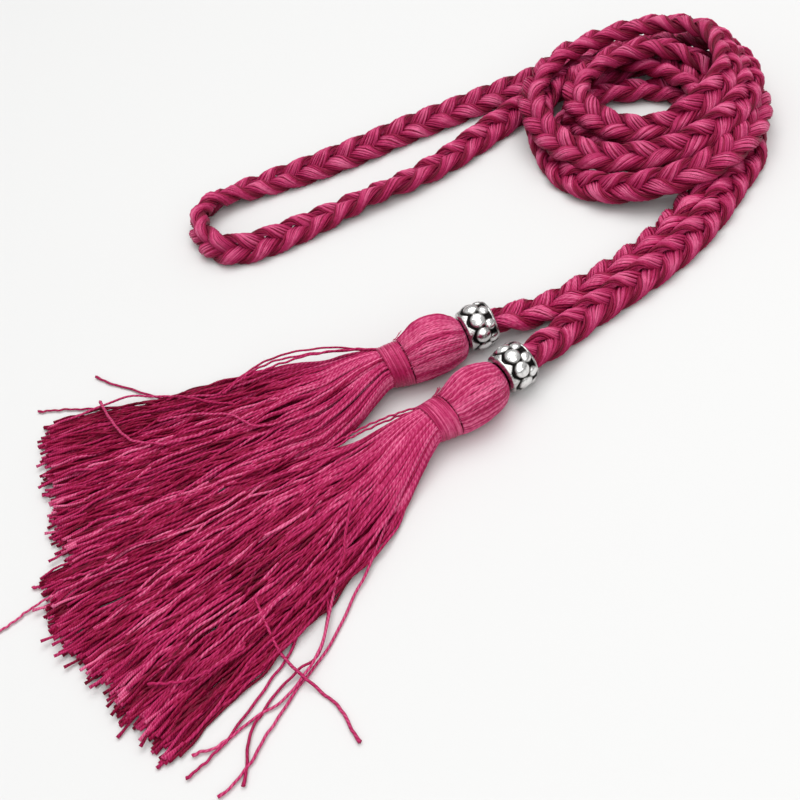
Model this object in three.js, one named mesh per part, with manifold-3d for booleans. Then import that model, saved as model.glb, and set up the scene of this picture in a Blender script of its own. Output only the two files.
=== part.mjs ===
// Braided tassel belt, lying on a flat surface. Millimetres, +Z up, the surface is z = 0.
// One plait of three strands is folded in half; the doubled end is rolled into a coil and the
// two free ends pass through silver beads into two tassels, A (far) and B (near).
import * as THREE from 'three';
import Module from 'manifold-3d';

const wasm = await Module();
wasm.setup();

// Driving dimensions.
const CENTRE = { x: 20.99, y: 27.78 };    // middle of the belt's outline in the layout below
const PLAIT = {
  period: 30,          // length in which a strand returns to the same edge
  swing: 3.85,         // how far a strand's middle travels to each side
  rise: 2.2,           // how far it rises over and dips under its neighbours
  tall: 4.1,           // long axis of a strand's section
  thin: 1.65,          // short axis of a strand's section
  roll: 1.8,           // radians the section rolls between an edge and the middle
  lean: 1.42,          // how much the section follows the strand's slant
  sides: 5,
  steps: 6,            // sections per period
};
const PRESSED = 0.9;                        // the plait is squeezed where it is coiled
const NECK = { length: 16, scale: 0.66 };   // the plait narrows into a bead
const FLOOR_GAP = 0.4;
const GAP = 0.3;
const COIL = { x: 107.6, y: 91, step: 45, fine: 30 };
const AXIS = 7.05;                          // height of a bead's axis; heads and bindings follow it
const BEAD = {
  outer: 6, bore: 3.7, length: 9.4, segments: 10,
  bumps: 8, bump: 2.2, raise: 0.95,
};

// The belt's way over the surface.
// Coil passes, one row per 45 degrees of turn from the back, clockwise from above:
// [radius, height, tilt]; a positive tilt lowers the outer edge (degrees).
const COIL_A = [
  [33.6, 2.9, 0], [39, 3.5, 15], [36, 5, 40], [38, 9.1, 28],
  [45, 11, 22], [40, 4.5, 30], [34.6, 3.6, 28], [36.8, 8.8, 10],
  [33.2, 8.9, 5], [21.6, 8.7, 5], [19.6, 9.3, 12], [18.8, 8.6, 20],
  [21.3, 4.8, 50], [21.4, 4.5, 55], [23.4, 4.2, 50], [28, 3.6, 30],
  [20.3, 3.2, 10], [18.8, 2.9, 0], [19.6, 3.1, 5], [27.4, 3.4, 5],
];
const COIL_B = [
  [49.5, 2.9, 0], [43.8, 7.9, 25], [35.2, 13.6, 42], [34, 15.9, 38],
  [34.2, 13.4, 30], [32.2, 10.6, 27], [34.2, 10.9, 32], [39.4, 14.4, 28],
  [38, 15.8, 18], [37.2, 17.8, 26], [28.6, 20.3, 42], [26.4, 20.2, 40],
  [22.3, 14.2, 27], [18.8, 12.8, 25], [18.6, 12.6, 28], [24.8, 13, 25],
  [26.2, 14.2, 15], [27.4, 13.6, 24], [27.9, 7, 50], [36.4, 3.1, 8],
];
// Free stretches, each row [x, y, height, tilt].
const EXIT_A = [
  [29.7, 12.7, 6.9, 0], [38, 13.4, 5.4, 0], [46, 14.5, 3.6, 0], [55.8, 16.6, 2.8, -5],
  [66.3, 20, 2.8, -14], [78.4, 24.7, 2.8, -20], [90.2, 31.1, 2.8, -26],
  [100.7, 38.8, 3.2, -33], [109.8, 47.2, 3.5, -34], [117, 56, 3.7, -20],
];
const EXIT_B = [
  [34.4, -7.5, 6.9, 0], [42, -2.9, 5.2, 0], [48.6, 1.8, 3.4, 0], [58.9, 7.1, 2.8, 8],
  [70.7, 12, 2.8, 16], [82.9, 17.1, 2.8, 22], [95, 23.8, 2.9, 26], [106, 32, 3.2, 28],
  [115.5, 41, 3.1, 27], [122.3, 47.7, 3.1, 24], [128.9, 54.9, 3.1, 18],
];
const LOWER_RUN = [
  [89, 126, 2.9, 15], [73, 119.6, 2.9, 32], [56.8, 111.4, 3, 28], [40.9, 104, 3.1, 5],
  [26.9, 99.2, 3.2, -14], [13.9, 96.7, 3.1, -28], [1, 94.4, 3.1, -12], [-11, 91.6, 3, 10],
  [-23.9, 88.6, 3.2, 28], [-35, 88, 4.2, 43],
];
const FOLD = [
  [-42.2, 91.4, 4.8, 57], [-46.3, 97.8, 5, 64], [-48.2, 105, 5, 66], [-48, 113.3, 5, 60],
];
const UPPER_RUN = [
  [-43.5, 119.5, 4.9, 46], [-35, 122.8, 4, 25], [-20.7, 123.7, 3, -8], [-3.8, 123.4, 2.9, -28],
  [14.1, 125.5, 2.9, -30], [31.9, 128.8, 2.9, -30], [49.8, 131, 2.9, -28],
  [68.6, 133.7, 2.9, -22], [88.8, 137.1, 2.9, -12],
];

// Tassels.
// `along` points from bead to fringe and `fan` down the middle of the fringe; `girth` scales head
// and binding; widths are [distance from the binding, half-width]; `reach` is each lock's length.
const TASSEL_A = {
  bead: [27.7, 12.35], along: [-0.9826, -0.1859], fan: [-0.9998, -0.0192], girth: 1.04, spin: 0.2,
  widths: [[1.2, 6.6], [10, 12.6], [22, 18.2], [47, 20.9], [72, 24.4], [94, 27.5]],
  reach: [104, 104, 103, 103, 101, 101, 101, 98],
};
const TASSEL_B = {
  bead: [32.56, -8.32], along: [-0.9205, -0.3909], fan: [-0.926, -0.377], girth: 0.96, spin: 0.5,
  widths: [[0.3, 5.9], [10, 9.8], [25, 16.9], [50, 24.4], [72, 29.3], [94, 33.8]],
  reach: [106, 109, 110, 109, 106, 107, 105, 103],
};
// Turned shapes along a tassel, [distance from the bead's middle, radius, shift to the near side].
const HEAD = [
  [5, 3.9, 0], [6.4, 6, 0.2], [9, 7.5, 0.8], [13, 8.4, 1.4], [17, 8.4, 1.6], [20.5, 7.6, 1.5],
  [23.3, 6.7, 1.2],
];
const BINDING = [[23.6, 6.5, 1.1], [24.4, 6.6, 1], [28.7, 6.1, 0.2], [29.5, 5.8, 0]];
const FRINGE_HEIGHTS = [[0, 12.8], [10, 10.4], [22, 8], [47, 5.8], [72, 4.6], [94, 3.6]];

// Small helpers.
const rad = (degrees) => (degrees * Math.PI) / 180;
const vec = (p) => new THREE.Vector3(p[0], p[1], p[2] ?? 0);

/** Uniform Catmull-Rom value at parameter u through rows of numbers. */
function spline(rows, u) {
  const last = rows.length - 1;
  const i = Math.min(Math.floor(u), last - 1);
  const t = u - i;
  const reflect = (p, q) => p.map((value, k) => 2 * value - q[k]);
  const b = rows[i];
  const c = rows[i + 1];
  const a = i > 0 ? rows[i - 1] : reflect(b, c);
  const d = i + 2 <= last ? rows[i + 2] : reflect(c, b);
  return b.map((_, k) => {
    const linear = (c[k] - a[k]) * t;
    const square = (2 * a[k] - 5 * b[k] + 4 * c[k] - d[k]) * t * t;
    const cube = (3 * b[k] - a[k] - 3 * c[k] + d[k]) * t * t * t;
    return 0.5 * (2 * b[k] + linear + square + cube);
  });
}

/** Route rows [x, y, z, tilt, press] for one half of the coil, every 30 degrees of turn. */
function coilRows(table) {
  const rows = [];
  const span = (table.length - 1) * COIL.step;
  for (let turn = 0; turn <= span; turn += COIL.fine) {
    const [radius, height, tilt] = spline(table, turn / COIL.step);
    const angle = rad(90 - turn);
    const x = COIL.x + radius * Math.cos(angle);
    const y = COIL.y + radius * Math.sin(angle);
    rows.push([x, y, height, tilt, PRESSED]);
  }
  return rows;
}

/** Half the plait's height when it is tilted: its edge strand reaches lowest. */
function halfHeight(tilt) {
  const edge = PLAIT.swing * Math.abs(Math.sin(tilt));
  return edge + 0.5 * Math.hypot(PLAIT.thin * Math.sin(tilt), PLAIT.tall * Math.cos(tilt));
}

/** All rows of the route from the bead of tassel A to the bead of tassel B. */
function routeRows() {
  const free = (table) => table.map((row) => [...row, 1]);
  const turned = (rows) => rows.map(([x, y, z, tilt, press]) => [x, y, z, -tilt, press]);
  return [
    ...turned(free(EXIT_A)),
    ...turned(coilRows(COIL_A)).reverse(),
    ...free(LOWER_RUN),
    ...free(FOLD),
    ...free(UPPER_RUN),
    ...coilRows(COIL_B),
    ...free(EXIT_B).reverse(),
  ];
}

/** The route as a function of length: point, tilt and press at a distance s. */
function measuredRoute() {
  const rows = routeRows();
  const count = 12 * (rows.length - 1);
  const samples = [];
  let length = 0;
  for (let i = 0; i <= count; i += 1) {
    const row = spline(rows, (i * (rows.length - 1)) / count);
    row[2] = Math.max(row[2], halfHeight(rad(row[3])) * row[4] + FLOOR_GAP);
    if (i > 0) length += vec(row).distanceTo(vec(samples[i - 1]));
    samples.push([...row, length]);
  }
  const at = (s) => {
    let i = 1;
    while (i < count && samples[i][5] < s) i += 1;
    const before = samples[i - 1];
    const after = samples[i];
    const t = (s - before[5]) / (after[5] - before[5]);
    return before.map((value, k) => value + (after[k] - value) * t);
  };
  return { length, at };
}

/** Frame of the plait at s: middle, edge direction `side` and upper face `face`. */
function frameAt(route, s) {
  const step = 1.5;
  const here = route.at(s);
  const ahead = vec(route.at(Math.min(s + step, route.length)));
  const behind = vec(route.at(Math.max(s - step, 0)));
  const tangent = ahead.sub(behind).normalize();
  const left = new THREE.Vector3(0, 0, 1).cross(tangent).normalize();
  const up = tangent.clone().cross(left);
  const tilt = rad(here[3]);
  const side = left.clone().multiplyScalar(Math.cos(tilt)).addScaledVector(up, -Math.sin(tilt));
  const face = up.clone().multiplyScalar(Math.cos(tilt)).addScaledVector(left, Math.sin(tilt));
  const fromEnd = Math.min(s, route.length - s) / NECK.length;
  const neck = fromEnd < 1 ? NECK.scale + (1 - NECK.scale) * fromEnd * fromEnd * (3 - 2 * fromEnd) : 1;
  return { middle: vec(here), tangent, side, face, scale: here[4] * neck };
}

// Meshes.
/**
 * Closed solid through rings of points, capped by fans, or joined end to end when `endless`.
 * Every four-sided face is split along its shorter diagonal.
 */
function loft(rings, endless = false) {
  const sides = rings[0].length;
  const count = rings.length;
  const points = rings.flat();
  const faces = [];
  const spans = endless ? count : count - 1;
  for (let i = 0; i < spans; i += 1) {
    for (let j = 0; j < sides; j += 1) {
      const a = i * sides + j;
      const b = i * sides + ((j + 1) % sides);
      const c = ((i + 1) % count) * sides + j;
      const d = ((i + 1) % count) * sides + ((j + 1) % sides);
      const straight = points[a].distanceTo(points[d]) <= points[b].distanceTo(points[c]);
      faces.push(...(straight ? [a, b, d, a, d, c] : [a, b, c, b, d, c]));
    }
  }
  for (let j = 1; !endless && j < sides - 1; j += 1) {
    const end = (count - 1) * sides;
    faces.push(0, j + 1, j, end, end + j, end + j + 1);
  }
  return solid(points, faces);
}

/** Manifold solid from points and faces, turned the right way out. */
function solid(points, faces) {
  const make = (order) => new wasm.Manifold(new wasm.Mesh({
    numProp: 3,
    vertProperties: new Float32Array(points.flatMap((p) => [p.x, p.y, p.z])),
    triVerts: new Uint32Array(order),
  }));
  const body = make(faces);
  if (body.volume() > 0) return body;
  const flipped = [];
  for (let i = 0; i < faces.length; i += 3) flipped.push(faces[i], faces[i + 2], faces[i + 1]);
  return make(flipped);
}

/** Geometry of a manifold solid, moved so that the belt's middle is the origin. */
function geometryOf(body) {
  const mesh = body.getMesh();
  const geometry = new THREE.BufferGeometry();
  geometry.setAttribute('position', new THREE.BufferAttribute(new Float32Array(mesh.vertProperties), 3));
  geometry.setIndex(new THREE.BufferAttribute(new Uint32Array(mesh.triVerts), 1));
  geometry.translate(-CENTRE.x, -CENTRE.y, 0);
  geometry.computeVertexNormals();
  return geometry;
}

// The plait.
/** One strand: swings A sin(w) from edge to edge and rises B sin(2w) over its neighbours. */
function strand(route, index) {
  const periods = Math.round(route.length / PLAIT.period);
  const rings = [];
  for (let i = 0; i <= periods * PLAIT.steps; i += 1) {
    const s = (route.length * i) / (periods * PLAIT.steps);
    const { middle, tangent, side, face, scale } = frameAt(route, s);
    const w = (2 * Math.PI * i) / PLAIT.steps + Math.PI / 6 + (2 * Math.PI * index) / 3;
    const slope = (2 * Math.PI * PLAIT.swing * scale * Math.cos(w)) / PLAIT.period;
    const lean = Math.atan(slope) * PLAIT.lean;
    const roll = PLAIT.roll * Math.cos(w) - Math.PI / 2;
    const centre = middle.clone()
      .addScaledVector(side, scale * PLAIT.swing * Math.sin(w))
      .addScaledVector(face, scale * PLAIT.rise * Math.sin(2 * w));
    const corner = (2 * Math.PI) / PLAIT.sides;
    const turned = Math.round(roll / corner);
    const ring = [];
    for (let j = 0; j < PLAIT.sides; j += 1) {
      const a = corner * (j - turned);
      const u = 0.5 * scale * PLAIT.tall * Math.cos(a);
      const v = 0.5 * scale * PLAIT.thin * Math.sin(a);
      const across = u * Math.cos(roll) - v * Math.sin(roll);
      const upward = u * Math.sin(roll) + v * Math.cos(roll);
      ring.push(centre.clone()
        .addScaledVector(side, across * Math.cos(lean))
        .addScaledVector(tangent, -across * Math.sin(lean))
        .addScaledVector(face, upward));
    }
    rings.push(ring);
  }
  return loft(rings);
}

// Tassel pieces.
/** Point of a tassel: distance along it from the bead, sideways offset and height. */
function tasselPoint(tassel, along, across, height) {
  const [dx, dy] = tassel.along;
  return new THREE.Vector3(
    tassel.bead[0] + dx * along - dy * across,
    tassel.bead[1] + dy * along + dx * across,
    height,
  );
}

/** Turned piece of a tassel from rows [distance, radius, shift], clear of the surface. */
function turnedPiece(tassel, table, segments) {
  const rings = table.map(([along, thickness, shift]) => {
    const radius = thickness * tassel.girth;
    const height = Math.max(AXIS, radius + FLOOR_GAP);
    const ring = [];
    for (let j = 0; j < segments; j += 1) {
      const a = (2 * Math.PI * j) / segments;
      ring.push(tasselPoint(tassel, along, shift + radius * Math.cos(a), height + radius * Math.sin(a)));
    }
    return ring;
  });
  return loft(rings);
}

/** Point of a bead from distance along its axis, radius and angle. */
function beadPoint(tassel, along, radius, angle) {
  return tasselPoint(tassel, along, radius * Math.cos(angle), AXIS + radius * Math.sin(angle));
}

/** Large-hole bead: a turned ring with rims and one row of domed bumps. */
function bead(tassel) {
  const h = BEAD.length / 2;
  const profile = [
    [-h, BEAD.bore], [-h, 5.2], [-2, BEAD.outer], [2, BEAD.outer], [h, 5.2], [h, BEAD.bore],
  ];
  const rings = [];
  for (let i = 0; i < BEAD.segments; i += 1) {
    const a = (2 * Math.PI * i) / BEAD.segments;
    rings.push(profile.map(([along, r]) => beadPoint(tassel, along, r, a)));
  }
  let body = loft(rings, true);
  for (let k = 0; k < BEAD.bumps; k += 1) {
    body = body.add(bump(tassel, (2 * Math.PI * k) / BEAD.bumps + tassel.spin));
  }
  return body;
}

/** One five-sided dome standing on the bead at an angle round its axis. */
function bump(tassel, angle) {
  const rows = [
    [BEAD.outer - 0.9, 1],
    [BEAD.outer + 0.45 * BEAD.raise, 0.85],
    [BEAD.outer + BEAD.raise, 0.4],
  ];
  const rings = rows.map(([radius, scale]) => {
    const ring = [];
    for (let j = 0; j < 5; j += 1) {
      const a = (2 * Math.PI * j) / 5;
      const along = BEAD.bump * scale * Math.cos(a);
      const turn = angle + (BEAD.bump * scale * Math.sin(a)) / BEAD.outer;
      ring.push(beadPoint(tassel, along, radius, turn));
    }
    return ring;
  });
  return loft(rings);
}

/** Point of a fringe: distance from the binding, sideways fraction of the fan, height. */
function fringePoint(tassel, distance, across, height) {
  const root = BINDING[BINDING.length - 1][0] + GAP;
  const start = tasselPoint(tassel, root, 0, 0);
  const [dx, dy] = tassel.fan;
  return new THREE.Vector3(
    start.x + dx * distance - dy * across,
    start.y + dy * distance + dx * across,
    height,
  );
}

const lookUp = (table, x) => {
  let i = 1;
  while (i < table.length - 1 && table[i][0] < x) i += 1;
  const [x0, y0] = table[i - 1];
  const [x1, y1] = table[i];
  return y0 + ((y1 - y0) * (x - x0)) / (x1 - x0);
};

/** Fringe: a fan-shaped backing, ridged into locks, with every lock's end standing free. */
function fringe(tassel) {
  const locks = tassel.reach.length;
  const rings = tassel.widths.map(([distance, half]) => {
    const height = lookUp(FRINGE_HEIGHTS, distance);
    const ring = [];
    for (let j = 0; j <= 2 * locks; j += 1) {
      const f = j / locks - 1;
      const arch = Math.sqrt(Math.max(0, 1 - f * f * 0.92));
      const ridge = j % 2 === 1 ? 1 : 0.8;
      ring.push(fringePoint(tassel, distance, f * half, Math.max(0.8, height * arch * ridge)));
    }
    ring.push(fringePoint(tassel, distance, half, 0), fringePoint(tassel, distance, -half, 0));
    return ring;
  });
  let body = loft(rings);
  tassel.reach.forEach((reach, k) => {
    body = body.add(lockEnd(tassel, k, reach));
  });
  return body;
}

/** Free end of one lock, from inside the backing to its own length. */
function lockEnd(tassel, k, reach) {
  const locks = tassel.reach.length;
  const f = (2 * k + 1) / locks - 1;
  const rows = [[92.5, 0.86, 3], [reach, 0.45, 1.5]];
  const rings = rows.map(([distance, fullness, height]) => {
    const spread = lookUp(tassel.widths, distance);
    const half = (fullness * spread) / locks;
    const drop = Math.sqrt(1 - f * f * 0.8);
    const top = height * drop;
    const section = [[-half, 0], [half, 0], [0.8 * half, 0.7 * top], [0, top], [-0.8 * half, 0.7 * top]];
    return section.map(([x, z]) => fringePoint(tassel, distance, f * spread * 0.99 + x, z));
  });
  return loft(rings);
}

// Assembly.
const SILK = { color: new THREE.Color(0xb8325f), roughness: 0.55, metalness: 0 };
const SILVER = { color: new THREE.Color(0xb9b8b6), roughness: 0.28, metalness: 1 };

const belt = new THREE.Group();
belt.name = 'braided_tassel_belt';

function place(name, body, finish) {
  const mesh = new THREE.Mesh(geometryOf(body), new THREE.MeshStandardMaterial(finish));
  mesh.name = name;
  belt.add(mesh);
}

const route = measuredRoute();
for (let k = 0; k < 3; k += 1) place(`braid_strand_${k + 1}`, strand(route, k), SILK);
for (const [letter, tassel] of [['a', TASSEL_A], ['b', TASSEL_B]]) {
  place(`bead_${letter}`, bead(tassel), SILVER);
  place(`tassel_head_${letter}`, turnedPiece(tassel, HEAD, 12), SILK);
  place(`binding_${letter}`, turnedPiece(tassel, BINDING, 12), SILK);
  place(`fringe_${letter}`, fringe(tassel), SILK);
}

export default belt;
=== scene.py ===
# %% [markdown]
# # A braided tassel belt
# A long plait of silky thread is folded in half and rolled into a loose coil. Each of its two free
# ends runs through a large silver bead into a tassel. Everything lies on a white table.
# The belt is nearly all thread, so this lesson has one idea at its heart: a path, worked out as a
# numpy array, that a round tube follows. Plait, tassel heads, bindings and fringes are all tubes.

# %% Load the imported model
import bpy
import numpy as np
from mathutils import Matrix, Vector


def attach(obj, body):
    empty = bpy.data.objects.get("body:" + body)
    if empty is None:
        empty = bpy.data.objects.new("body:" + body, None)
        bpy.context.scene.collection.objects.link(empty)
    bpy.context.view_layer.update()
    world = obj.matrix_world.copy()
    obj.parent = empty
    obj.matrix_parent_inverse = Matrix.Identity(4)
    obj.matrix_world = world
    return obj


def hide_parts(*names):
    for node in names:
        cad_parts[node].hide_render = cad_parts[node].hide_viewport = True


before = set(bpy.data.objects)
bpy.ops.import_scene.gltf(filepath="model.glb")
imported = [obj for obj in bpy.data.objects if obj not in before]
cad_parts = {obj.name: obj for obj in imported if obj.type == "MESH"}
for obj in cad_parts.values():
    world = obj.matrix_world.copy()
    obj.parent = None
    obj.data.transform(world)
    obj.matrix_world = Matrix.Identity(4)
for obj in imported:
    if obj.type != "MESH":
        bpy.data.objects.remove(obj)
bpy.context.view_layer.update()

MM = 0.001

# %% [markdown]
# ## Camera
# The picture was taken from in front and above, with the camera turned a little about its own
# axis, so that the table's horizon leans. A camera is aimed by a point to look at, a distance,
# an angle above the table and that roll. Working with these four is easier than with raw angles,
# because each can be checked against the picture by itself.

# %% Camera
CENTRE = np.array([20.99, 27.78])
LENS, SENSOR = 54.0, 36.0
DISTANCE = 343.0
ELEVATION, ROLL = np.radians(44), np.radians(17.5)

look_at = np.array([-CENTRE[0], -CENTRE[1], 0.0])
back = np.array([0, -np.cos(ELEVATION), np.sin(ELEVATION)])
place = Matrix.Translation(Vector((look_at + DISTANCE * back) * MM))
turn = Matrix.Rotation(np.pi / 2 - ELEVATION, 4, "X") @ Matrix.Rotation(-ROLL, 4, "Z")

camera_data = bpy.data.cameras.new("camera")
camera_data.lens, camera_data.sensor_width = LENS, SENSOR
camera_data.clip_start, camera_data.clip_end = 0.01, 20
camera = bpy.data.objects.new("camera", camera_data)
camera.matrix_world = place @ turn
bpy.context.scene.collection.objects.link(camera)
bpy.context.scene.camera = camera
print("camera stands at", np.round(camera.matrix_world.translation, 3))

# %% [markdown]
# ## The belt's way over the table
# A soft belt has no shape of its own: where it lies is a route. The free stretches are listed
# points, and each pass of the coil is given by a radius and a height for every eighth of a
# turn. A Catmull-Rom curve joins them smoothly. Each point also says how far the flat plait is
# tilted, because a plait never lies quite flat. Lengths are millimetres, angles degrees.

# %% Points of the route
COIL = {"x": 107.6, "y": 91.0, "step": 45, "fine": 30}
COIL_PRESS, FREE_PRESS = 0.99, 1.04
# radius, height, tilt for every eighth of a turn, clockwise from the back
COIL_A = [
    [33.6, 2.9, 0], [39, 3.5, 15], [36, 5, 40], [38, 9.1, 28],
    [45, 11, 22], [40, 4.5, 30], [34.6, 3.6, 28], [36.8, 8.8, 10],
    [33.2, 8.9, 5], [21.6, 8.7, 5], [19.6, 9.3, 12], [18.8, 8.6, 20],
    [21.3, 4.8, 50], [21.4, 4.5, 55], [23.4, 4.2, 50], [28, 3.6, 30],
    [20.3, 3.2, 10], [18.8, 2.9, 0], [19.6, 3.1, 5], [27.4, 3.4, 5],
]
COIL_B = [
    [49.5, 2.9, 0], [43.8, 7.9, 25], [35.2, 13.6, 42], [34, 15.9, 38],
    [34.2, 13.4, 30], [32.2, 10.6, 27], [34.2, 10.9, 32], [39.4, 14.4, 28],
    [38, 15.8, 18], [37.2, 17.8, 26], [28.6, 20.3, 42], [26.4, 20.2, 40],
    [22.3, 14.2, 27], [18.8, 12.8, 25], [18.6, 12.6, 28], [24.8, 13, 25],
    [26.2, 14.2, 15], [27.4, 13.6, 24], [27.9, 7, 50], [36.4, 3.1, 8],
]
# x, y, height, tilt of the free stretches
EXIT_A = [
    [29.7, 12.7, 6.9, 0], [38, 13.4, 5.4, 0], [46, 14.5, 3.6, 0], [55.8, 16.6, 2.8, -5],
    [66.3, 20, 2.8, -14], [78.4, 24.7, 2.8, -20], [90.2, 31.1, 2.8, -26],
    [100.7, 38.8, 3.2, -33], [109.8, 47.2, 3.5, -34], [117, 56, 3.7, -20],
]
EXIT_B = [
    [34.4, -7.5, 6.9, 0], [42, -2.9, 5.2, 0], [48.6, 1.8, 3.4, 0], [58.9, 7.1, 2.8, 8],
    [70.7, 12, 2.8, 16], [82.9, 17.1, 2.8, 22], [95, 23.8, 2.9, 26], [106, 32, 3.2, 28],
    [115.5, 41, 3.1, 27], [122.3, 47.7, 3.1, 24], [128.9, 54.9, 3.1, 18],
]
LOWER_RUN = [
    [89, 126, 2.9, 15], [73, 119.6, 2.9, 32], [56.8, 111.4, 3, 28], [40.9, 104, 3.1, 5],
    [26.9, 99.2, 3.2, -14], [13.9, 96.7, 3.1, -28], [1, 94.4, 3.1, -12], [-11, 91.6, 3, 10],
    [-23.9, 88.6, 3.2, 28], [-35, 88, 4.2, 43],
]
FOLD = [[-42.2, 91.4, 4.8, 57], [-46.3, 97.8, 5, 64], [-48.2, 105, 5, 66], [-48, 113.3, 5, 60]]
UPPER_RUN = [
    [-43.5, 119.5, 4.9, 46], [-35, 122.8, 4, 25], [-20.7, 123.7, 3, -8], [-3.8, 123.4, 2.9, -28],
    [14.1, 125.5, 2.9, -30], [31.9, 128.8, 2.9, -30], [49.8, 131, 2.9, -28],
    [68.6, 133.7, 2.9, -22], [88.8, 137.1, 2.9, -12],
]


def spline(rows, u):
    """Smooth values through rows of numbers at all the parameters u at once.

    Uniform Catmull-Rom: between rows b and c with neighbours a and d the value is half of
    2b + (c - a)t + (2a - 5b + 4c - d)t^2 + (3b - a - 3c + d)t^3."""
    rows = np.asarray(rows, float)
    ends = np.vstack([2 * rows[0] - rows[1], rows, 2 * rows[-1] - rows[-2]])
    i = np.clip(np.floor(u).astype(int), 0, len(rows) - 2)
    t = (u - i)[:, None]
    a, b, c, d = ends[i], ends[i + 1], ends[i + 2], ends[i + 3]
    square = (2 * a - 5 * b + 4 * c - d) * t**2
    cube = (3 * b - a - 3 * c + d) * t**3
    return 0.5 * (2 * b + (c - a) * t + square + cube)


def coil_rows(table):
    """Route rows [x, y, height, tilt, press] round the coil.

    x and y are the coil's middle plus radius times cosine and sine of the angle."""
    turn = np.arange(0, (len(table) - 1) * COIL["step"] + 1, COIL["fine"])
    radius, height, tilt = spline(table, turn / COIL["step"]).T
    angle = np.radians(90 - turn)
    x = COIL["x"] + radius * np.cos(angle)
    y = COIL["y"] + radius * np.sin(angle)
    return np.stack([x, y, height, tilt, np.full(len(turn), COIL_PRESS)], 1)


def free_rows(table):
    """Route rows of a free stretch, with the fuller section of a plait that nothing presses."""
    return np.hstack([np.array(table, float), np.full((len(table), 1), FREE_PRESS)])


def other_side(rows):
    """The same rows seen from the other edge of the plait: the tilt changes its sign."""
    return rows * [1, 1, 1, -1, 1]


route_rows = np.vstack([
    other_side(free_rows(EXIT_A)),
    other_side(coil_rows(COIL_A))[::-1],
    free_rows(LOWER_RUN), free_rows(FOLD), free_rows(UPPER_RUN),
    coil_rows(COIL_B),
    free_rows(EXIT_B)[::-1],
])
print(len(route_rows), "route points")

# %% [markdown]
# ## One strand of the plait
# In a plait of three, every strand does the same thing a third of a period later. Seen from
# above it swings from edge to edge as a sine, and seen from the side it goes over and under twice
# as often, as a sine of the double angle. The strand is a flat bundle, and it rolls over as it
# turns round the edge. With those three rules the strands take turns to lie on top, pressed
# against each other.

# %% Plait frame along the route
PERIOD, SWING, RISE = 30.0, 3.6, 1.6
ROLL_OVER, LEAN = 1.8, 1.42
MIDDLE_WIDE, MIDDLE_THICK = 6.45, 3.0
EDGE_WIDE, EDGE_THICK = 4.4, 3.4
NECK_LENGTH, NECK_SCALE = 10.0, 0.72
STEPS_PER_PERIOD = 20
PLAIT_LIFT = 0.1
# a tilted plait reaches down by this share of its half-width, plus half a strand
REACH_SHARE, HALF_STRAND = 1.15, 1.0


def unit(v):
    """Vectors of length one: each vector divided by its length."""
    return v / np.linalg.norm(v, axis=-1, keepdims=True)


def smooth(x):
    """Soft step from 0 to 1: 3x^2 - 2x^3 on a clipped x."""
    x = np.clip(x, 0, 1)
    return x * x * (3 - 2 * x)


def plait_frame():
    """Distance, middle, tangent, side, face, scale and phase of the plait at even steps.

    left is up x tangent, and the tilt turns left and upright into side and face. The phase grows
    by 2 pi in each period."""
    u = np.linspace(0, len(route_rows) - 1, 12 * (len(route_rows) - 1) + 1)
    rows = spline(route_rows, u)
    tilt = np.radians(rows[:, 3])
    half = REACH_SHARE * np.hypot(SWING * np.sin(tilt), RISE * np.cos(tilt)) + HALF_STRAND
    rows[:, 2] = np.maximum(rows[:, 2], half * rows[:, 4] + PLAIT_LIFT)
    rows[:, :2] -= CENTRE
    step = np.linalg.norm(np.diff(rows[:, :3], axis=0), axis=1)
    s = np.concatenate([[0], np.cumsum(step)])
    length = s[-1]
    periods = round(length / PERIOD)
    even = np.linspace(0, length, periods * STEPS_PER_PERIOD + 1)
    rows = np.stack([np.interp(even, s, column) for column in rows.T], 1)
    soft = np.array([1, 4, 6, 4, 1]) / 16
    padded = np.pad(rows, ((2, 2), (0, 0)), mode="edge")
    rows[2:-2] = sum(w * padded[k:k + len(rows)] for k, w in enumerate(soft))[2:-2]
    middle, tilt = rows[:, :3], np.radians(rows[:, 3])[:, None]
    tangent = unit(np.gradient(middle, axis=0))
    left = unit(np.cross([0, 0, 1], tangent))
    upright = np.cross(tangent, left)
    side = np.cos(tilt) * left - np.sin(tilt) * upright
    face = np.cos(tilt) * upright + np.sin(tilt) * left
    from_end = smooth(np.minimum(even, length - even) / NECK_LENGTH)
    scale = rows[:, 4] * (NECK_SCALE + (1 - NECK_SCALE) * from_end)
    phase = 2 * np.pi * even / (length / periods)
    return even, middle, tangent, side, face, scale[:, None], phase


along, middle, tangent, side, face, scale, phase = plait_frame()
print(f"plait of {along[-1]:.0f} mm with {phase[-1] / 2 / np.pi:.0f} periods")

# %% [markdown]
# ## Tubes
# A thread is a round tube. Blender's curves can bevel a path into a tube, but a mesh made here
# keeps a UV map that runs along the thread, which the twist of the yarn needs later, and one
# function makes hundreds of threads in a moment, because numpy handles all of them together.

# %% Tube and mesh helpers


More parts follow.
